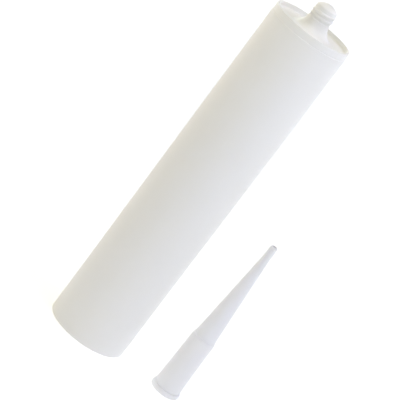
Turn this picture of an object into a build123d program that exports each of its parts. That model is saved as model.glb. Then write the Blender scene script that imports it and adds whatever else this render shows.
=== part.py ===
"""Plastic sealant cartridge: barrel with a closed threaded neck, sliding piston, and its nozzle.

The barrel stands on its open rear rim, with its axis on +Z and the middle of that rim at the origin.
The nozzle is off the neck and stands on its foot flange beside the barrel.
"""
import os
from math import radians, tan

from build123d import *

# Barrel tube, in millimetres as everything here.
barrel_radius = 24.5
barrel_length = 219.0  # rear rim to head rim
barrel_wall = 1.4
rim_edge = 0.35  # rounding of the rims' edges
lead_in_height = 3.0  # taper inside the rear rim that guides the piston in
lead_in_depth = 0.45

# Head: a collar band round the outside, and a plate that lies below the rim.
collar_height = 4.5
collar_step = 0.3
head_rim_wall = 1.5
recess_depth = 3.0
plate_thickness = 1.8
plate_slope = 4.0  # degrees that the plate climbs towards the neck
plate_fillet = 0.8

# Thread of the neck, which the nozzle's socket fits.
thread_root_radius = 6.45
thread_depth = 0.6
thread_pitch = 2.65
thread_crest_width = 0.75
thread_root_width = 1.75
thread_start = 206.0  # degrees from +X to the ridge's lower end
thread_clearance = 0.15  # radial, between the neck's thread and the nozzle's

# Neck, closed by a thin dome that is cut off before use.
neck_height = 15.3  # head rim to the top of the dome
neck_wall = 1.65  # at the thread's root
neck_step = 0.45  # how far the plain foot of the neck stands out from the thread's root
neck_plain_length = 0.8  # from the flare to the thread
neck_flare_radius = 6.8  # hollow curve from the plate into the neck
dome_height = 2.45
dome_shoulder = 1.3
dome_wall = 1.0

# Piston.
piston_clearance = 0.05  # radial, a lip in the barrel's bore
piston_setback = 12.0  # rear rim to the piston's rear edge with the piston fully back
piston_skirt_height = 20.0
lip_height = 2.4
lip_taper = 0.8
waist_depth = 0.7  # how far the skirt between the lips stands back from them
skirt_wall = 1.2
crown_thickness = 1.5
crown_flat_radius = 9.0
web_count = 8
web_thickness = 1.0
web_depth = 4.0
hub_radius = 5.0
hub_wall = 1.1

# Nozzle, standing beside the barrel.
nozzle_x = 55.8
nozzle_y = -4.4
nozzle_height = 107.6
nozzle_wall = 1.05
socket_depth = 16.5
socket_mouth = 0.8  # chamfer at the socket's mouth
socket_height = 40.1
socket_draft = 0.85  # how much the socket's radius shrinks from its flange to its top
flange_width = 0.9
flange_height = 3.4
flange_foot_edge = 0.6
step_depth = 0.6
tip_length = 8.3
tip_bore_radius = 1.35
tip_wall = 0.85
tip_draft = 0.2  # how much the tip's radius shrinks along it
tip_edge = 0.65

# Places that follow from the sizes above.
neck_radius = thread_root_radius + neck_step
neck_bore_radius = thread_root_radius - neck_wall
thread_crest_radius = thread_root_radius + thread_depth
bore_radius = barrel_radius - barrel_wall
collar_radius = barrel_radius - collar_step
collar_z = barrel_length - collar_height
recess_radius = collar_radius - head_rim_wall
slope = tan(radians(plate_slope))
plate_z = barrel_length - recess_depth  # the plate's outer face where it meets the rim
ceiling_z = plate_z - plate_thickness  # its inner face where it meets the bore
foot_z = plate_z + slope * (recess_radius - neck_radius)
mouth_z = ceiling_z + slope * (bore_radius - neck_bore_radius)
flare_top = foot_z + neck_flare_radius * tan(radians(45 - plate_slope / 2))
mouth_flare_radius = neck_flare_radius + plate_thickness
dome_top = barrel_length + neck_height
dome_z = dome_top - dome_height
bore_top = dome_top - dome_wall - dome_height * (neck_bore_radius / thread_root_radius) ** 2
thread_top = dome_z - dome_shoulder
thread_foot = flare_top + neck_plain_length


def corners(outline, *places):
    """The outline's corners that lie nearest to the given places."""
    return [outline.vertices().sort_by_distance(place)[0] for place in places]


def thread_ridge(wall_radius, depth, foot, top):
    """A helical ridge that stands out of a round wall by depth, or into its bore by a negative depth.

    It sinks into the wall over half a turn at both ends.
    """
    sink = 0.25 if depth > 0 else -0.25
    base = wall_radius - sink
    crest = wall_radius + depth
    fade = thread_pitch / 2
    with BuildPart() as ridge:
        with BuildLine() as path:
            Helix(thread_pitch, top - foot + thread_pitch, base, center=(0, 0, foot - fade))
        with BuildSketch(Plane(path.line @ 0, x_dir=(1, 0, 0), z_dir=path.line % 0)):
            with BuildLine():
                Polyline(
                    (0, -thread_root_width / 2),
                    (crest - base, -thread_crest_width / 2),
                    (crest - base, thread_crest_width / 2),
                    (0, thread_root_width / 2),
                    close=True,
                )
            make_face()
        sweep(path=path.line, is_frenet=True)
        with BuildSketch(Plane.XZ):
            with BuildLine():
                Polyline(
                    (base - 2 * sink, foot),
                    (base, foot),
                    (crest + sink, foot + fade),
                    (crest + sink, top - fade),
                    (base, top),
                    (base - 2 * sink, top),
                    close=True,
                )
            make_face()
        revolve(axis=Axis.Z, mode=Mode.INTERSECT)
    return ridge.part.rotate(Axis.Z, thread_start)


# Barrel.
neck_thread = thread_ridge(thread_root_radius, thread_depth, thread_foot, thread_top)
with BuildPart() as barrel:
    with BuildSketch(Plane.XZ) as barrel_outline:
        with BuildLine():
            Polyline(
                (bore_radius + lead_in_depth, 0),
                (barrel_radius, 0),
                (barrel_radius, collar_z),
                (collar_radius, collar_z),
                (collar_radius, barrel_length),
                (recess_radius, barrel_length),
                (recess_radius, plate_z),
                (neck_radius, foot_z),
                (neck_radius, thread_foot - neck_step),
                (thread_root_radius, thread_foot),
                (thread_root_radius, dome_z),
            )
            TangentArc((0, dome_top), (thread_root_radius, dome_z), tangent=(1, 0))
            Line((0, dome_top), (0, dome_top - dome_wall))
            TangentArc((0, dome_top - dome_wall), (neck_bore_radius, bore_top), tangent=(1, 0))
            Polyline(
                (neck_bore_radius, bore_top),
                (neck_bore_radius, mouth_z),
                (bore_radius, ceiling_z),
                (bore_radius, lead_in_height),
                (bore_radius + lead_in_depth, 0),
            )
        make_face()
        rims = [(barrel_radius, 0), (collar_radius, barrel_length), (recess_radius, barrel_length)]
        fillet(corners(barrel_outline, *rims), rim_edge)
        fillet(corners(barrel_outline, (barrel_radius, collar_z)), 0.8 * collar_step)
        fillet(corners(barrel_outline, (recess_radius, plate_z), (bore_radius, ceiling_z)), plate_fillet)
        fillet(corners(barrel_outline, (thread_root_radius, dome_z)), dome_shoulder)
        fillet(corners(barrel_outline, (neck_radius, foot_z)), neck_flare_radius)
        fillet(corners(barrel_outline, (neck_bore_radius, mouth_z)), mouth_flare_radius)
    revolve(axis=Axis.Z)
    add(neck_thread)
barrel.part.label = "barrel"

# Piston: a cup with a lip at each end of its skirt, open to the rear.
lip_radius = bore_radius - piston_clearance
waist_radius = lip_radius - waist_depth
skirt_inside = waist_radius - skirt_wall
piston_top = piston_setback + piston_skirt_height  # the crown's outer edge
crown_edge_radius = lip_radius - lip_taper
crown_top = piston_top + slope * (crown_edge_radius - crown_flat_radius)
under_crown = piston_top - crown_thickness
web_foot = under_crown - web_depth

with BuildPart() as piston:
    with BuildSketch(Plane.XZ) as piston_outline:
        with BuildLine():
            Polyline(
                (0, crown_top),
                (crown_flat_radius, crown_top),
                (crown_edge_radius, piston_top),
                (lip_radius, piston_top - lip_taper),
                (lip_radius, piston_top - lip_height),
                (waist_radius, piston_top - lip_height - lip_taper),
                (waist_radius, piston_setback + lip_height + lip_taper),
                (lip_radius, piston_setback + lip_height),
                (lip_radius, piston_setback + lip_taper),
                (lip_radius - lip_taper / 2, piston_setback),
                (skirt_inside, piston_setback),
                (skirt_inside, under_crown),
                (crown_flat_radius, crown_top - crown_thickness),
                (0, crown_top - crown_thickness),
                close=True,
            )
        make_face()
        fillet(corners(piston_outline, (crown_flat_radius, crown_top)), crown_flat_radius / 3)
        fillet(corners(piston_outline, (skirt_inside, under_crown)), plate_fillet)
    revolve(axis=Axis.Z)
    with BuildSketch(Plane.XY.offset(web_foot)):
        with PolarLocations(0, web_count):
            Rectangle(skirt_inside + skirt_wall / 2, web_thickness, align=(Align.MIN, Align.CENTER))
        Circle(hub_radius)
        Circle(hub_radius - hub_wall, mode=Mode.SUBTRACT)
    extrude(until=Until.NEXT)
piston.part.label = "piston"

# Nozzle.
thread_gap_radius = thread_crest_radius + thread_clearance  # the socket's wall
socket_foot_radius = thread_gap_radius + nozzle_wall
socket_top_radius = socket_foot_radius - socket_draft
step_radius = socket_top_radius - step_depth
flange_radius = socket_foot_radius + flange_width
tip_z = nozzle_height - tip_length
tip_radius = tip_bore_radius + tip_wall
tip_foot_radius = tip_radius + tip_draft
socket_taper = socket_draft / (socket_height - flange_height)
bore_foot_radius = socket_foot_radius - socket_taper * (socket_depth - flange_height) - nozzle_wall
nozzle_thread = thread_ridge(thread_gap_radius, -thread_depth, 1.5 * socket_mouth, socket_depth - socket_mouth)

with BuildPart() as nozzle:
    with BuildSketch(Plane.XZ) as nozzle_outline:
        with BuildLine():
            Polyline(
                (thread_gap_radius + socket_mouth / 2, 0),
                (flange_radius, 0),
                (flange_radius, flange_height),
                (socket_foot_radius, flange_height),
                (socket_top_radius, socket_height),
                (step_radius, socket_height + step_depth),
                (tip_foot_radius, tip_z),
                (tip_radius, nozzle_height),
                (tip_bore_radius, nozzle_height),
                (tip_bore_radius, tip_z),
                (step_radius - nozzle_wall, socket_height),
                (bore_foot_radius - step_depth, socket_depth + step_depth),
                (thread_gap_radius, socket_depth),
                (thread_gap_radius, socket_mouth),
                close=True,
            )
        make_face()
        fillet(corners(nozzle_outline, (flange_radius, 0)), flange_foot_edge)
        fillet(corners(nozzle_outline, (flange_radius, flange_height)), 0.95 * flange_width)
        fillet(corners(nozzle_outline, (tip_radius, nozzle_height)), tip_edge)
    revolve(axis=Axis.Z)
    add(nozzle_thread)
nozzle.part.position = (nozzle_x, nozzle_y, 0)
nozzle.part.label = "nozzle"

os.makedirs("parts", exist_ok=True)
for piece in (barrel.part, piston.part, nozzle.part):
    export_step(piece, f"parts/{piece.label}.step")
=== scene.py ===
"""A blank sealant cartridge with its piston and its nozzle: surfaces, finishes, light and camera.

Everything is in metres, in the frame's own axes. The barrel's axis is +Z, its rear rim stands in the
plane z = 0, and the nozzle stands beside it on its foot flange.
"""
import logging
from dataclasses import dataclass
from enum import Enum

import bpy
import numpy as np
from mathutils import Matrix, Vector


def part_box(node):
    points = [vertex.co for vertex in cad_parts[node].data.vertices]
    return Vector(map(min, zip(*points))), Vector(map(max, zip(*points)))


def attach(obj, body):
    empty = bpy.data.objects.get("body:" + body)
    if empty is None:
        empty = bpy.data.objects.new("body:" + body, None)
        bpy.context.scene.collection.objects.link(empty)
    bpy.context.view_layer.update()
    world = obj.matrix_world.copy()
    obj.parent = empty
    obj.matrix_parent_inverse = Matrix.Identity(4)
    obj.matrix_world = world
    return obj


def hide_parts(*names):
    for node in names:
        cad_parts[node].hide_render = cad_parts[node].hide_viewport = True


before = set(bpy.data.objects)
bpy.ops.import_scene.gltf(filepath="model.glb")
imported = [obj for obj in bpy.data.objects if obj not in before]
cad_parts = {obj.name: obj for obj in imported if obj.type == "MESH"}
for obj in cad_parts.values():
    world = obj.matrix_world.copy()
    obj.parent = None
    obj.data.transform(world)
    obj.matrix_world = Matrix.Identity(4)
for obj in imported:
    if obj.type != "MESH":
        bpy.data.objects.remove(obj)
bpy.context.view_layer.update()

MM = 0.001
LOG = logging.getLogger("cartridge")

Points = np.ndarray
GUARD = 0.12 * MM  # distance of the shading guards from a run's ends
EDGE = 0.2 * MM  # rounding of a moulding's small edges


# ---------------------------------------------------------------- outlines


@dataclass(frozen=True)
class Corner:
    """One corner of a section's outline.

    Args:
        r: distance from the axis.
        z: height.
        rounding: radius of the arc that replaces the corner, or 0 for a sharp one.
    """

    r: float
    z: float
    rounding: float = 0.0


def rounded(corners: list[Corner], closed: bool, arc_steps: int = 10) -> Points:
    """Turns corners into a chain of points in which each rounded corner is an arc.

    The arc touches both of its straight runs: its ends lie rounding / tan(half the corner's angle)
    from the corner, and its centre on the corner's bisector.

    Args:
        corners: the outline, in order.
        closed: whether the last corner joins the first.
        arc_steps: chords in each arc.

    Returns:
        An array of (r, z) rows.
    """
    places = np.array([(c.r, c.z) for c in corners])
    chain = []
    for index, corner in enumerate(corners):
        here = places[index]
        at_end = not closed and index in (0, len(corners) - 1)
        if at_end or corner.rounding <= 0.0:
            chain.append(here[None, :])
            continue
        back = places[index - 1] - here
        ahead = places[(index + 1) % len(corners)] - here
        back /= np.linalg.norm(back)
        ahead /= np.linalg.norm(ahead)
        half = 0.5 * np.arccos(np.clip(back @ ahead, -1.0, 1.0))
        bisector = (back + ahead) / np.linalg.norm(back + ahead)
        centre = here + bisector * corner.rounding / np.sin(half)
        start = here + back * corner.rounding / np.tan(half) - centre
        end = here + ahead * corner.rounding / np.tan(half) - centre
        sweep = np.pi - 2.0 * half
        share = np.linspace(0.0, 1.0, arc_steps + 1)[:, None]
        arc = (np.sin((1.0 - share) * sweep) * start + np.sin(share * sweep) * end) / np.sin(sweep)
        chain.append(centre + arc)
    return np.vstack(chain)


def divided(chain: Points, step: float, closed: bool, thread: "Thread | None" = None) -> Points:
    """Divides the long runs of a chain, and sets a guard point near both ends of each.

    The guard points keep a flat run flat in shading, right up to the arcs beside it. A run that
    carries a thread is divided finely enough for its flanks.

    Args:
        chain: an array of (r, z) rows.
        step: the longest run that is left.
        closed: whether the last point joins the first.
        thread: the thread that one of the runs carries.

    Returns:
        An array of (r, z) rows.
    """
    following = np.roll(chain, -1, axis=0) if closed else chain[1:]
    pieces = []
    for start, end in zip(chain, following):
        length = float(np.linalg.norm(end - start))
        longest = thread.row_step if thread and thread.lies_between(start, end) else step
        shares = np.linspace(0.0, 1.0, max(1, int(np.ceil(length / longest))) + 1)
        if length > 4.0 * GUARD:
            inner = shares[(shares * length > 2.0 * GUARD) & ((1.0 - shares) * length > 2.0 * GUARD)]
            shares = np.concatenate(([0.0, GUARD / length], inner, [1.0 - GUARD / length, 1.0]))
        pieces.append(start + shares[:-1, None] * (end - start))
    if not closed:
        pieces.append(chain[-1:])
    return np.vstack(pieces)


def dome(
    radius: float, top: float, height: float, shoulder: float, steps: int = 40, shoulder_steps: int = 13
) -> Points:
    """Outline of a round cap from its top down to the wall, with a smaller arc at its shoulder.

    The cap is a circle through the top and through the wall's corner, level at the top. The
    shoulder's circle lies inside it, touches it and touches the wall.

    Args:
        radius: the wall's radius.
        top: height of the cap's top.
        height: the cap's height above the wall's corner.
        shoulder: radius of the arc at the shoulder, or 0 for a corner.
        steps: points along the cap.
        shoulder_steps: chords in the shoulder's arc.

    Returns:
        An array of (r, z) rows, from the axis outwards.
    """
    cap_radius = (radius**2 + height**2) / (2.0 * height)
    centre_z = top - cap_radius
    inner_r = radius - shoulder
    inner_z = centre_z + np.sqrt((cap_radius - shoulder) ** 2 - inner_r**2)
    meet = np.arctan2(inner_r, inner_z - centre_z)
    turn = np.linspace(0.0, meet, steps)
    cap = np.column_stack((cap_radius * np.sin(turn), centre_z + cap_radius * np.cos(turn)))
    if shoulder <= 0.0:
        return cap
    turn = np.linspace(meet, 0.5 * np.pi, shoulder_steps + 1)[1:]
    arc = np.column_stack((inner_r + shoulder * np.sin(turn), inner_z + shoulder * np.cos(turn)))
    return np.vstack((cap, arc))


# ---------------------------------------------------------------- surfaces


def smoothstep(value: Points) -> Points:
    """The curve 3 v^2 - 2 v^3 of a value held between 0 and 1."""
    held = np.clip(value, 0.0, 1.0)
    return held * held * (3.0 - 2.0 * held)


@dataclass(frozen=True)
class Thread:
    """A moulded single-start right-hand thread on a round wall.

    Args:
        wall: radius of the wall that it stands on.
        foot: height where the ridge starts.
        top: height where it ends.
        depth: how far the ridge stands out of its wall; negative stands into a bore.
        start: angle of the ridge's middle half a pitch below its foot, in degrees from +X.
        pitch: rise in one turn.
        crest: width of the ridge's crest.
        base: width of the ridge at its wall.
        rows: rows of points in one pitch.
    """

    wall: float
    foot: float
    top: float
    depth: float
    start: float = 206.0
    pitch: float = 2.65 * MM
    crest: float = 0.75 * MM
    base: float = 1.75 * MM
    rows: int = 22

    @property
    def row_step(self) -> float:
        """Distance between the rows that draw the ridge."""
        return self.pitch / self.rows

    def lies_between(self, start: Points, end: Points) -> bool:
        """Whether the straight run from start to end is the thread's wall."""
        middle = 0.5 * (start + end)
        on_wall = max(abs(start[0] - self.wall), abs(end[0] - self.wall)) < 0.01 * MM
        return bool(on_wall and self.foot < middle[1] < self.top)

    def height(self, angle: Points, radius: Points, z: Points) -> Points:
        """How far a point of the wall is pushed out.

        The distance to the ridge's middle is taken along z and wrapped by the pitch. The flank is a
        ramp between the two widths, softened by smoothstep, and the ridge fades over half a turn at
        both of its ends. Points that don't lie on the wall stay.

        Args:
            angle: angles about the axis, in radians.
            radius: distances from the axis.
            z: heights.

        Returns:
            Radial offsets, shaped like the inputs broadcast together.
        """
        turns = (angle - np.radians(self.start)) / (2.0 * np.pi)
        phase = (z - self.foot) / self.pitch + 0.5 - turns
        away = np.abs(phase - np.round(phase)) * self.pitch
        ridge = smoothstep((self.base - 2.0 * away) / (self.base - self.crest))
        half_pitch = 0.5 * self.pitch
        fade = smoothstep((z - self.foot) / half_pitch) * smoothstep((self.top - z) / half_pitch)
        return np.where(np.abs(radius - self.wall) < abs(self.depth), self.depth * ridge * fade, 0.0)


def turned(chain: Points, segments: int, thread: Thread | None = None) -> Points:
    """A surface of revolution: the chain's point (r, z) goes to (r cos a, r sin a, z).

    Args:
        chain: an array of (r, z) rows.
        segments: how many steps make the full turn.
        thread: a thread that pushes its wall out.

    Returns:
        A grid of points, shaped (rows, segments, 3).
    """
    angle = np.linspace(0.0, 2.0 * np.pi, segments, endpoint=False)[None, :]
    radius = np.repeat(chain[:, 0:1], segments, axis=1)
    z = np.repeat(chain[:, 1:2], segments, axis=1)
    if thread:
        radius = radius + thread.height(angle, radius, z)
    return np.stack((radius * np.cos(angle), radius * np.sin(angle), z), axis=-1)


def closed_surface(name: str, grid: Points, ring: bool) -> bpy.types.Object:
    """Makes a smooth mesh object of a grid whose columns go all the way round.

    Args:
        name: the object's name.
        grid: points shaped (rows, columns, 3).
        ring: whether the last row joins the first, as on a tube that is open at both ends. If not,
            the first and last rows each lie on the axis and become one point.

    Returns:
        The object, at the origin.
    """
    rows, columns = grid.shape[:2]
    here = np.arange(columns)
    beside = np.roll(here, -1)
    if ring:
        points = grid.reshape(-1, 3)
        row = np.arange(rows)[:, None] * columns
        above = np.roll(row, -1, axis=0)
        quads = np.stack((row + here, row + beside, above + beside, above + here), axis=-1)
        faces = quads.reshape(-1, 4).tolist()
    else:
        points = np.vstack((grid[:1, 0], grid[1:-1].reshape(-1, 3), grid[-1:, 0]))
        row = 1 + np.arange(rows - 3)[:, None] * columns
        above = row + columns
        quads = np.stack((row + here, row + beside, above + beside, above + here), axis=-1).reshape(-1, 4)
        last = len(points) - 1
        first_fan = np.stack((np.zeros_like(here), 1 + beside, 1 + here), axis=-1)
        last_row = 1 + (rows - 3) * columns
        last_fan = np.stack((np.full_like(here, last), last_row + here, last_row + beside), axis=-1)
        faces = quads.tolist() + first_fan.tolist() + last_fan.tolist()
    mesh = bpy.data.meshes.new(name)
    mesh.from_pydata(points.tolist(), [], faces)
    mesh.polygons.foreach_set("use_smooth", np.ones(len(mesh.polygons), dtype=bool))
    mesh.update()
    piece = bpy.data.objects.new(name, mesh)
    bpy.context.scene.collection.objects.link(piece)
    return piece


# ---------------------------------------------------------------- shader maths


class Value:
    """A number or a socket in a material, with the operators that add Math nodes.

    Args:
        book: the node tree's book, which makes the nodes.
        source: a socket or a plain number.
    """

    def __init__(self, book: "NodeBook", source: object) -> None:
        """Keeps the book and the source."""
        self.book = book
        self.source = source

    def math(self, operation: str, *others: object) -> "Value":
        """One Math node of this value and others.

        Args:
            operation: the Math node's operation.
            others: values, sockets or numbers for its further inputs.

        Returns:
            The node's output.
        """
        inputs = dict(enumerate((self, *others)))
        made = self.book.node("ShaderNodeMath", {"operation": operation}, inputs)
        return Value(self.book, made.outputs[0])

    def __add__(self, other: object) -> "Value":
        """Sum."""
        return self.math("ADD", other)

    def __radd__(self, other: object) -> "Value":
        """Sum, from the right."""
        return self.math("ADD", other)

    def __sub__(self, other: object) -> "Value":
        """Difference."""
        return self.math("SUBTRACT", other)

    def __rsub__(self, other: object) -> "Value":
        """Difference, from the right."""
        return Value(self.book, other).math("SUBTRACT", self)

    def __mul__(self, other: object) -> "Value":
        """Product."""
        return self.math("MULTIPLY", other)

    def __rmul__(self, other: object) -> "Value":
        """Product, from the right."""
        return self.math("MULTIPLY", other)

    def held(self) -> "Value":
        """The value held between 0 and 1."""
        return Value(self.book, self.book.node("ShaderNodeClamp", {}, {"Value": self}).outputs[0])

    def ramp(self, low: float, high: float) -> "Value":
        """A smooth step from 0 at low to 1 at high."""
        settings = {"interpolation_type": "SMOOTHSTEP"}
        inputs = {"Value": self, "From Min": low, "From Max": high}
        return Value(self.book, self.book.node("ShaderNodeMapRange", settings, inputs).outputs[0])


class NodeBook:
    """Makes the nodes of one material or of the world.

    Args:
        owner: the material or world, whose tree is emptied first.
    """

    def __init__(self, owner: bpy.types.Material | bpy.types.World) -> None:
        """Empties the owner's tree."""
        owner.use_nodes = True
        self.tree = owner.node_tree
        self.tree.nodes.clear()

    def node(self, kind: str, settings: dict[str, object], inputs: dict[object, object]) -> bpy.types.Node:
        """One node of any type.

        Args:
            kind: the node's type.
            settings: its properties, which are set first.
            inputs: its sockets by name or number, each with a Value, a socket or a constant.

        Returns:
            The node.
        """
        made = self.tree.nodes.new(kind)
        for name, setting in settings.items():
            setattr(made, name, setting)
        for key, given in inputs.items():
            source = given.source if isinstance(given, Value) else given
            if isinstance(source, bpy.types.NodeSocket):
                self.tree.links.new(source, made.inputs[key])
            else:
                made.inputs[key].default_value = source
        return made

    def noise(
        self, where: bpy.types.NodeSocket, scale: float, detail: float, roughness: float = 0.5
    ) -> Value:
        """Noise of about zero mean, between -0.5 and 0.5.

        Args:
            where: the coordinates.
            scale: cells in a metre.
            detail: octaves.
            roughness: weight of the finer octaves.

        Returns:
            The noise less one half.
        """
        inputs = {"Vector": where, "Scale": scale, "Detail": detail, "Roughness": roughness}
        return Value(self, self.node("ShaderNodeTexNoise", {}, inputs).outputs["Fac"]) - 0.5

    def stretched(
        self, where: bpy.types.NodeSocket, factors: tuple[float, float, float]
    ) -> bpy.types.NodeSocket:
        """Coordinates scaled along the three axes."""
        inputs = {0: where, 1: factors}
        return self.node("ShaderNodeVectorMath", {"operation": "MULTIPLY"}, inputs).outputs[0]

    def blend(self, amount: Value, first: object, second: object) -> bpy.types.NodeSocket:
        """A colour that goes from first to second as amount goes from 0 to 1."""
        settings = {"data_type": "RGBA", "clamp_factor": True}
        return self.node("ShaderNodeMix", settings, {0: amount, 6: first, 7: second}).outputs[2]


# ---------------------------------------------------------------- finishes


Colour = tuple[float, float, float, float]


@dataclass(frozen=True)
class MouldedPlastic:
    """White polyethylene as it leaves the mould.

    Args:
        name: the material's name.
        colour: its usual colour.
        tint: the colour of its slightly yellower patches.
        roughness: mean roughness.
        glow: how much light travels under its surface.
        grain: depth of its bump.
        cloud_cells: cells of the broad cloud in a metre.
        flow_cells: cells of the flow lines in a metre, across them.
        flow_stretch: cells of the flow lines along the axis, as a share of those across.
        peel_cells: cells of the fine orange peel in a metre.
        glow_depth: how far light travels under the surface.
    """

    name: str
    colour: Colour
    tint: Colour
    roughness: float
    glow: float
    grain: float
    cloud_cells: float = 24.0
    flow_cells: float = 420.0
    flow_stretch: float = 0.06
    peel_cells: float = 900.0
    glow_depth: float = 1.2 * MM

    def material(self) -> bpy.types.Material:
        """Makes the material.

        The colour drifts between the two tones with a broad cloud and faint flow lines along the
        axis. The roughness follows the same flow lines and a finer cloud. The bump is orange peel,
        and long shallow flow marks.

        Returns:
            The material.
        """
        material = bpy.data.materials.new(self.name)
        book = NodeBook(material)
        where = book.node("ShaderNodeTexCoord", {}, {}).outputs["Object"]
        along_axis = book.stretched(where, (1.0, 1.0, self.flow_stretch))
        cloud = book.noise(where, self.cloud_cells, detail=3.0)
        flow = book.noise(along_axis, self.flow_cells, detail=4.0, roughness=0.6)
        peel = book.noise(where, self.peel_cells, detail=4.0, roughness=0.6)
        tone = (0.5 + 1.3 * cloud + 0.5 * flow).held()
        height = peel * 0.5 + flow * 0.6 + cloud * 2.0
        bump = book.node("ShaderNodeBump", {}, {"Strength": 0.5, "Distance": self.grain, "Height": height})
        shader = book.node(
            "ShaderNodeBsdfPrincipled",
            {},
            {
                "Base Color": book.blend(tone, self.colour, self.tint),
                "Roughness": (self.roughness + 0.12 * peel + 0.08 * flow).held(),
                "IOR": 1.5,
                "Subsurface Weight": self.glow,
                "Subsurface Radius": (1.0, 0.9, 0.8),
                "Subsurface Scale": self.glow_depth,
                "Normal": bump.outputs[0],
            },
        )
        book.node("ShaderNodeOutputMaterial", {}, {"Surface": shader.outputs[0]})
        return material


class Finish(Enum):
    """The finishes of this object's pieces."""

    BARREL = MouldedPlastic(
        name="barrel_white",
        colour=(0.868, 0.862, 0.842, 1.0),
        tint=(0.858, 0.848, 0.815, 1.0),
        roughness=0.42,
        glow=0.12,
        grain=0.05 * MM,
    )
    PISTON = MouldedPlastic(
        name="piston_white",
        colour=(0.80, 0.81, 0.79, 1.0),
        tint=(0.79, 0.79, 0.76, 1.0),
        roughness=0.5,
        glow=0.2,
        grain=0.03 * MM,
    )
    NOZZLE = MouldedPlastic(
        name="nozzle_white",
        colour=(0.873, 0.868, 0.885, 1.0),
        tint=(0.863, 0.858, 0.862, 1.0),
        roughness=0.38,
        glow=0.2,
        grain=0.03 * MM,
    )


def dress(piece: bpy.types.Object, finish: Finish, node: str, body: str) -> bpy.types.Object:
    """Gives a piece its material and ties it to the frame.

    Args:
        piece: the finished mesh object.
        finish: its finish.
        node: the CAD node that it stands for.
        body: the body that it rides on.

    Returns:
        The piece.
    """
    piece.data.materials.append(finish.value.material())
    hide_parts(node)
    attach(piece, body)
    low, high = np.array([piece.bound_box[0], piece.bound_box[6]]) / MM
    LOG.info("%s: %d faces, %s to %s mm", piece.name, len(piece.data.polygons), low.round(2), high.round(2))
    return piece


# ---------------------------------------------------------------- barrel


@dataclass
class Barrel:
    """The moulded tube with its collar, recessed head plate, threaded neck and closed dome.

    Lengths are in metres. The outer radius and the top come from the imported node.
    """

    radius: float
    top: float
    wall: float = 1.4 * MM
    rim_edge: float = 0.35 * MM
    lead_in_height: float = 3.0 * MM
    lead_in_depth: float = 0.45 * MM
    collar_height: float = 4.5 * MM
    collar_step: float = 0.3 * MM
    head_rim_wall: float = 1.5 * MM
    recess_depth: float = 3.0 * MM
    plate_thickness: float = 1.8 * MM
    plate_slope: float = 4.0
    plate_fillet: float = 0.8 * MM
    thread_root: float = 6.45 * MM
    thread_depth: float = 0.6 * MM
    neck_height: float = 15.3 * MM
    neck_wall: float = 1.65 * MM
    neck_step: float = 0.45 * MM
    neck_plain_length: float = 0.8 * MM
    neck_flare: float = 6.8 * MM
    dome_height: float = 2.45 * MM
    dome_shoulder: float = 1.3 * MM
    dome_wall: float = 1.0 * MM
    collar_foot_edge: float = 0.08 * MM
    lead_in_edge: float = 0.6 * MM
    longest_run: float = 8.0 * MM
    segments: int = 216

    def build(self) -> bpy.types.Object:
        """Turns the outline about the axis, with the thread's ridge on the neck.

        The outline goes from the dome's top down the outside, round the rear rim and up the inside.

        Returns:
            The barrel's object.
        """
        rim = self.top - self.neck_height
        slope = np.tan(np.radians(self.plate_slope))
        neck = self.thread_root + self.neck_step
        neck_bore = self.thread_root - self.neck_wall
        bore = self.radius - self.wall
        collar = self.radius - self.collar_step
        collar_z = rim - self.collar_height
        recess = collar - self.head_rim_wall
        plate_z = rim - self.recess_depth
        ceiling_z = plate_z - self.plate_thickness
        foot_z = plate_z + slope * (recess - neck)
        mouth_z = ceiling_z + slope * (bore - neck_bore)
        flare_top = foot_z + self.neck_flare * np.tan(np.radians(45.0 - self.plate_slope / 2.0))
        thread_foot = flare_top + self.neck_plain_length
        thread_top = self.top - self.dome_height - self.dome_shoulder
        thread = Thread(self.thread_root, thread_foot, thread_top, self.thread_depth)
        outside = dome(self.thread_root, self.top, self.dome_height, self.dome_shoulder)
        inner_dome = self.dome_height * (neck_bore / self.thread_root) ** 2
        inside = dome(neck_bore, self.top - self.dome_wall, inner_dome, 0.0)[::-1]
        corners = [
            Corner(self.thread_root, thread_top),
            Corner(self.thread_root, thread_foot, EDGE),
            Corner(neck, thread_foot - self.neck_step, EDGE),
            Corner(neck, foot_z, self.neck_flare),
            Corner(recess, plate_z, self.plate_fillet),
            Corner(recess, rim, self.rim_edge),
            Corner(collar, rim, self.rim_edge),
            Corner(collar, collar_z, self.collar_foot_edge),
            Corner(self.radius, collar_z, 0.8 * self.collar_step),
            Corner(self.radius, 0.0, self.rim_edge),
            Corner(bore + self.lead_in_depth, 0.0, EDGE),
            Corner(bore, self.lead_in_height, self.lead_in_edge),
            Corner(bore, ceiling_z, self.plate_fillet),
            Corner(neck_bore, mouth_z, self.neck_flare + self.plate_thickness),
            Corner(*inside[0]),
        ]
        walls = divided(rounded(corners, closed=False), self.longest_run, closed=False, thread=thread)
        chain = np.vstack((outside[:-1], walls, inside[1:]))[::-1]
        piece = closed_surface("barrel_moulding", turned(chain, self.segments, thread), ring=False)
        return dress(piece, Finish.BARREL, "barrel", "root")


# ---------------------------------------------------------------- piston


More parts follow.
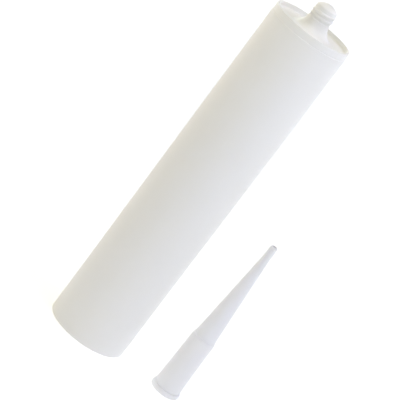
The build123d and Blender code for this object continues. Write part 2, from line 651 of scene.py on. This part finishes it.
@dataclass
class Piston:
    """The cup that slides in the barrel, with two lips, a low coned crown, and webs behind it.

    Lengths are in metres. The radius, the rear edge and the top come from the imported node.
    """

    radius: float
    low: float
    top: float
    skirt_height: float = 20.0 * MM
    lip_height: float = 2.4 * MM
    lip_taper: float = 0.8 * MM
    waist_depth: float = 0.7 * MM
    skirt_wall: float = 1.2 * MM
    crown_thickness: float = 1.5 * MM
    crown_flat: float = 9.0 * MM
    web_count: int = 8
    web_thickness: float = 1.0 * MM
    web_depth: float = 4.0 * MM
    hub_radius: float = 5.0 * MM
    hub_wall: float = 1.1 * MM
    hub_arc_points: int = 10
    cup_fillet: float = 0.8 * MM
    longest_run: float = 2.0 * MM
    sharp_angle: float = 40.0
    segments: int = 192

    @property
    def shoulder(self) -> float:
        """Height of the crown's outer edge."""
        return self.low + self.skirt_height

    @property
    def skirt_inside(self) -> float:
        """Radius of the cup's inner wall."""
        return self.radius - self.waist_depth - self.skirt_wall

    def cup(self) -> bpy.types.Object:
        """Turns the plain cup's outline about the axis.

        The outline goes from the crown's middle down the skirt, round its rear edge and back inside.

        Returns:
            The cup's object.
        """
        waist = self.radius - self.waist_depth
        corners = [
            Corner(0.0, self.top),
            Corner(self.crown_flat, self.top, self.crown_flat / 3.0),
            Corner(self.radius - self.lip_taper, self.shoulder, EDGE),
            Corner(self.radius, self.shoulder - self.lip_taper, EDGE),
            Corner(self.radius, self.shoulder - self.lip_height, EDGE),
            Corner(waist, self.shoulder - self.lip_height - self.lip_taper, EDGE),
            Corner(waist, self.low + self.lip_height + self.lip_taper, EDGE),
            Corner(self.radius, self.low + self.lip_height, EDGE),
            Corner(self.radius, self.low + self.lip_taper, EDGE),
            Corner(self.radius - self.lip_taper / 2.0, self.low, EDGE),
            Corner(self.skirt_inside, self.low, EDGE),
            Corner(self.skirt_inside, self.shoulder - self.crown_thickness, self.cup_fillet),
            Corner(self.crown_flat, self.top - self.crown_thickness, EDGE),
            Corner(0.0, self.top - self.crown_thickness),
        ]
        chain = divided(rounded(corners, closed=False, arc_steps=6), self.longest_run, closed=False)[::-1]
        return closed_surface("piston_cup", turned(chain, self.segments), ring=False)

    def star(self, inset: float) -> tuple[Points, Points]:
        """Outer and inner outline of the webs and their hub, point for point.

        One web's share of the outer outline is its two sides, which are parallel lines, its end in
        the skirt's wall, and the arc of the hub as far as the next web. The other webs' shares are
        turns of it. The inner outline is the hub's bore at the same bearings along the hub.

        Args:
            inset: how far both outlines draw back from the full section.

        Returns:
            Two arrays of (x, y) rows.
        """
        half = 0.5 * self.web_thickness - inset
        hub = self.hub_radius - inset
        reach = self.skirt_inside + 0.5 * self.skirt_wall
        corner = np.arcsin(half / hub)
        pitch = 2.0 * np.pi / self.web_count
        arc = np.linspace(corner, pitch - corner, self.hub_arc_points)
        x = np.concatenate(([reach, reach], hub * np.cos(arc)))
        y = np.concatenate(([-half, half], hub * np.sin(arc)))
        bearing = np.concatenate(([-corner / 2.0, corner / 2.0], arc))
        turn = pitch * np.arange(self.web_count)[:, None]
        cosine, sine = np.cos(turn), np.sin(turn)
        outer = np.stack((x * cosine - y * sine, x * sine + y * cosine), axis=-1)
        bore = self.hub_radius - self.hub_wall + inset
        inner = bore * np.stack((np.cos(bearing + turn), np.sin(bearing + turn)), axis=-1)
        return outer.reshape(-1, 2), inner.reshape(-1, 2)

    def webs(self) -> bpy.types.Object:
        """Makes the webs and the hub as one closed ring, whose top is sunk in the crown.

        The ring's section has six corners: two at its foot, drawn back, two just above them, and two
        at its head.

        Returns:
            The ring's object.
        """
        foot = self.shoulder - self.crown_thickness - self.web_depth
        head = self.shoulder - 0.2 * self.crown_thickness
        narrow_outer, narrow_inner = self.star(EDGE)
        outer, inner = self.star(0.0)
        levels = ((narrow_outer, foot), (outer, foot + EDGE), (outer, head))
        levels += ((inner, head), (inner, foot + EDGE), (narrow_inner, foot))
        rows = [np.column_stack((outline, np.full(len(outline), z))) for outline, z in levels]
        return closed_surface("piston_webs", np.stack(rows), ring=True)

    def build(self) -> bpy.types.Object:
        """Joins the webs to the cup as one surface.

        Returns:
            The piston's object.
        """
        piece = self.cup()
        webs = self.webs()
        union = piece.modifiers.new("webs", "BOOLEAN")
        union.operation = "UNION"
        union.solver = "EXACT"
        union.object = webs
        evaluated = piece.evaluated_get(bpy.context.evaluated_depsgraph_get())
        joined = bpy.data.meshes.new_from_object(evaluated)
        piece.modifiers.clear()
        piece.data = joined
        bpy.data.objects.remove(webs)
        joined.set_sharp_from_angle(angle=np.radians(self.sharp_angle))
        return dress(piece, Finish.PISTON, "piston", "piston")


# ---------------------------------------------------------------- nozzle


@dataclass
class Nozzle:
    """The cone nozzle: foot flange, threaded socket, step, long cone and open tip.

    Lengths are in metres. The centre, the flange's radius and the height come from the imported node.
    """

    centre: Vector
    flange_radius: float
    height: float
    wall: float = 1.05 * MM
    thread_depth: float = 0.6 * MM
    socket_depth: float = 16.5 * MM
    socket_mouth: float = 0.8 * MM
    socket_height: float = 40.1 * MM
    socket_draft: float = 0.85 * MM
    flange_width: float = 0.9 * MM
    flange_height: float = 3.4 * MM
    flange_foot_edge: float = 0.6 * MM
    step_depth: float = 0.6 * MM
    tip_length: float = 8.3 * MM
    tip_bore: float = 1.35 * MM
    tip_wall: float = 0.85 * MM
    tip_draft: float = 0.2 * MM
    tip_edge: float = 0.65 * MM
    tip_bore_edge: float = 0.1 * MM
    tip_blend: float = 6.0 * MM
    flange_foot: float = 0.04 * MM
    step_edge: float = 0.3 * MM
    longest_run: float = 3.0 * MM
    segments: int = 144

    def build(self) -> bpy.types.Object:
        """Turns the closed outline about the axis, with the thread's ridge inside the socket.

        The outline goes up the outside, over the tip and down the bore.

        Returns:
            The nozzle's object.
        """
        socket_foot = self.flange_radius - self.flange_width
        socket_top = socket_foot - self.socket_draft
        socket_bore = socket_foot - self.wall
        step = socket_top - self.step_depth
        tip_z = self.height - self.tip_length
        tip = self.tip_bore + self.tip_wall
        taper = self.socket_draft / (self.socket_height - self.flange_height)
        bore_foot = socket_foot - taper * (self.socket_depth - self.flange_height) - self.wall
        corners = [
            Corner(socket_bore + self.socket_mouth / 2.0, 0.0, EDGE),
            Corner(self.flange_radius, 0.0, self.flange_foot_edge),
            Corner(self.flange_radius, self.flange_height, 0.95 * self.flange_width),
            Corner(socket_foot, self.flange_height, self.flange_foot),
            Corner(socket_top, self.socket_height, self.step_edge),
            Corner(step, self.socket_height + self.step_depth, self.step_edge),
            Corner(tip + self.tip_draft, tip_z, self.tip_blend),
            Corner(tip, self.height, self.tip_edge),
            Corner(self.tip_bore, self.height, self.tip_bore_edge),
            Corner(self.tip_bore, tip_z, EDGE),
            Corner(step - self.wall, self.socket_height, EDGE),
            Corner(bore_foot - self.step_depth, self.socket_depth + self.step_depth, EDGE),
            Corner(socket_bore, self.socket_depth, EDGE),
            Corner(socket_bore, self.socket_mouth, EDGE),
        ]
        thread_foot = 1.5 * self.socket_mouth
        thread_top = self.socket_depth - self.socket_mouth
        thread = Thread(socket_bore, thread_foot, thread_top, -self.thread_depth)
        outline = rounded(corners, closed=True, arc_steps=8)
        chain = divided(outline, self.longest_run, closed=True, thread=thread)
        grid = turned(chain, self.segments, thread) + np.array(self.centre)
        piece = closed_surface("nozzle_cone", grid, ring=True)
        return dress(piece, Finish.NOZZLE, "nozzle", "root")


# ---------------------------------------------------------------- studio


@dataclass(frozen=True)
class Softbox:
    """A square area light that faces the middle of the object and doesn't show itself.

    Args:
        name: the light's name.
        bearing: its direction from the object, in degrees from -Y towards +X.
        elevation: its angle above the floor, in degrees.
        distance: from the middle of the object.
        size: its side.
        power: in watts.
        colour: its colour.
    """

    name: str
    bearing: float
    elevation: float
    distance: float
    size: float
    power: float
    colour: tuple[float, float, float]

    def hang(self, towards: Vector) -> bpy.types.Object:
        """Adds the light.

        Args:
            towards: the point that it faces.

        Returns:
            The light's object.
        """
        data = bpy.data.lights.new(self.name, "AREA")
        data.shape = "SQUARE"
        data.size = self.size
        data.energy = self.power
        data.color = self.colour
        bearing, elevation = np.radians((self.bearing, self.elevation))
        level = self.distance * np.cos(elevation)
        lamp = bpy.data.objects.new(self.name, data)
        lamp.location = towards + Vector(
            (level * np.sin(bearing), -level * np.cos(bearing), self.distance * np.sin(elevation))
        )
        lamp.rotation_euler = (towards - lamp.location).to_track_quat("-Z", "Y").to_euler()
        lamp.visible_camera = False
        bpy.context.scene.collection.objects.link(lamp)
        return lamp


@dataclass(frozen=True)
class Viewpoint:
    """The camera: where it stands and how it is turned.

    Args:
        place: its position.
        yaw: turn of its line of sight about +Z from +Y, in degrees, clockwise seen from above.
        pitch: how far it looks down, in degrees.
        roll: how far it is turned anticlockwise about its line of sight, in degrees.
        lens: focal length for a 36 mm sensor, in millimetres.
    """

    place: tuple[float, float, float]
    yaw: float
    pitch: float
    roll: float
    lens: float

    def set_up(self) -> bpy.types.Object:
        """Adds the camera and makes it the scene's.

        Returns:
            The camera's object.
        """
        data = bpy.data.cameras.new("camera")
        data.lens = self.lens
        data.sensor_width = 36.0
        data.clip_start = 0.05
        data.clip_end = 50.0
        camera = bpy.data.objects.new("camera", data)
        turn = Matrix.Rotation(np.radians(-self.yaw), 4, "Z")
        tilt = Matrix.Rotation(np.radians(90.0 - self.pitch), 4, "X")
        lean = Matrix.Rotation(np.radians(self.roll), 4, "Z")
        camera.matrix_world = Matrix.Translation(self.place) @ turn @ tilt @ lean
        bpy.context.scene.collection.objects.link(camera)
        bpy.context.scene.camera = camera
        return camera


@dataclass(frozen=True)
class Studio:
    """A pale floor, lit from below like a light table towards its far parts, and soft lights.

    The surrounding is as pale as the floor at the horizon and dark above it, so that the object is
    lit by its softboxes and the floor.

    Args:
        floor_reach: half of the floor's side.
        floor_colour: the paper's colour.
        near_glow: what the floor gives off beside the object.
        far_glow: what it gives off far away.
        glow_start: distance at which the floor's glow starts to grow.
        glow_end: distance at which it has its far value.
        sky_colour: the surrounding above the horizon.
        horizon_colour: the surrounding at the horizon and below it.
        horizon_top: sine of the elevation at which the horizon's colour starts to fade.
        sky_foot: sine of the elevation at which the sky's colour is reached.
        boxes: the lights.
    """

    floor_reach: float = 30.0
    floor_colour: Colour = (0.95, 0.95, 0.95, 1.0)
    near_glow: Colour = (0.41, 0.405, 0.40, 1.0)
    far_glow: Colour = (1.05, 1.05, 1.05, 1.0)
    glow_start: float = 0.4
    glow_end: float = 2.0
    sky_colour: Colour = (0.0, 0.0, 0.0, 1.0)
    horizon_colour: Colour = (1.05, 1.05, 1.05, 1.0)
    horizon_top: float = 0.1
    sky_foot: float = 0.2
    boxes: tuple[Softbox, ...] = (
        Softbox("back_left", -150.0, 20.0, 1.5, 1.0, 7.1, (0.9, 0.97, 1.0)),
        Softbox("back_right", 150.0, 20.0, 1.5, 1.0, 4.7, (0.68, 0.73, 1.0)),
        Softbox("warm_left", -120.0, 12.0, 0.75, 0.45, 0.36, (1.0, 0.56, 0.04)),
        Softbox("cool_right", 60.0, 12.0, 0.75, 0.45, 0.78, (0.66, 0.78, 1.0)),
        Softbox("warm_back_right", 120.0, 40.0, 0.75, 0.45, 0.92, (1.0, 0.94, 0.68)),
        Softbox("top_front", -30.0, 68.0, 0.75, 0.45, 1.56, (1.0, 0.98, 0.8)),
        Softbox("top_right", 60.0, 68.0, 0.75, 0.45, 2.35, (0.74, 0.76, 1.0)),
        Softbox("top_left", -90.0, 68.0, 0.75, 0.45, 0.72, (1.0, 0.92, 0.5)),
    )

    def floor_material(self) -> bpy.types.Material:
        """Makes a matt paper whose glow grows with the distance from the object.

        Returns:
            The material.
        """
        material = bpy.data.materials.new("floor_paper")
        book = NodeBook(material)
        where = book.node("ShaderNodeTexCoord", {}, {}).outputs["Object"]
        away = book.node("ShaderNodeVectorMath", {"operation": "LENGTH"}, {0: where}).outputs["Value"]
        share = Value(book, away).ramp(self.glow_start, self.glow_end)
        shader = book.node(
            "ShaderNodeBsdfPrincipled",
            {},
            {
                "Base Color": self.floor_colour,
                "Roughness": 1.0,
                "Specular IOR Level": 0.0,
                "Emission Color": book.blend(share, self.near_glow, self.far_glow),
                "Emission Strength": 1.0,
            },
        )
        book.node("ShaderNodeOutputMaterial", {}, {"Surface": shader.outputs[0]})
        return material

    def surrounding(self) -> bpy.types.World:
        """Makes a world that is pale at the horizon and fades to its sky colour above it.

        Returns:
            The world.
        """
        world = bpy.data.worlds.new("surrounding")
        book = NodeBook(world)
        where = book.node("ShaderNodeTexCoord", {}, {}).outputs["Generated"]
        height = Value(book, book.node("ShaderNodeSeparateXYZ", {}, {0: where}).outputs["Z"])
        share = height.ramp(self.horizon_top, self.sky_foot)
        colour = book.blend(share, self.horizon_colour, self.sky_colour)
        light = book.node("ShaderNodeBackground", {}, {"Color": colour, "Strength": 1.0})
        book.node("ShaderNodeOutputWorld", {}, {"Surface": light.outputs[0]})
        return world

    def set_up(self, towards: Vector) -> None:
        """Adds the floor, the surrounding and the lights.

        Args:
            towards: the point that the lights face.
        """
        reach = self.floor_reach
        mesh = bpy.data.meshes.new("floor")
        corners = [(-reach, -reach, 0.0), (reach, -reach, 0.0), (reach, reach, 0.0), (-reach, reach, 0.0)]
        mesh.from_pydata(corners, [], [(0, 1, 2, 3)])
        mesh.materials.append(self.floor_material())
        floor = bpy.data.objects.new("floor", mesh)
        bpy.context.scene.collection.objects.link(floor)
        bpy.context.scene.world = self.surrounding()
        for box in self.boxes:
            box.hang(towards)


# ---------------------------------------------------------------- the object


def main() -> None:
    """Builds the studio and the three pieces."""
    logging.basicConfig(level=logging.INFO, format="%(name)s %(message)s")
    bpy.context.scene.view_settings.view_transform = "Standard"
    low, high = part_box("barrel")
    Barrel(radius=0.5 * (high[0] - low[0]), top=high[2]).build()
    low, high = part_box("piston")
    Piston(radius=0.5 * (high[0] - low[0]), low=low[2], top=high[2]).build()
    low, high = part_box("nozzle")
    centre = Vector((0.5 * (low[0] + high[0]), 0.5 * (low[1] + high[1]), low[2]))
    Nozzle(centre=centre, flange_radius=0.5 * (high[0] - low[0]), height=high[2] - low[2]).build()
    Viewpoint(
        place=(0.0, -1.074387, 0.4214115), yaw=0.3698, pitch=16.5507, roll=36.9604, lens=180.592
    ).set_up()
    Studio().set_up(towards=Vector((0.0, 0.0, 0.1)))


if __name__ == "__main__":
    main()
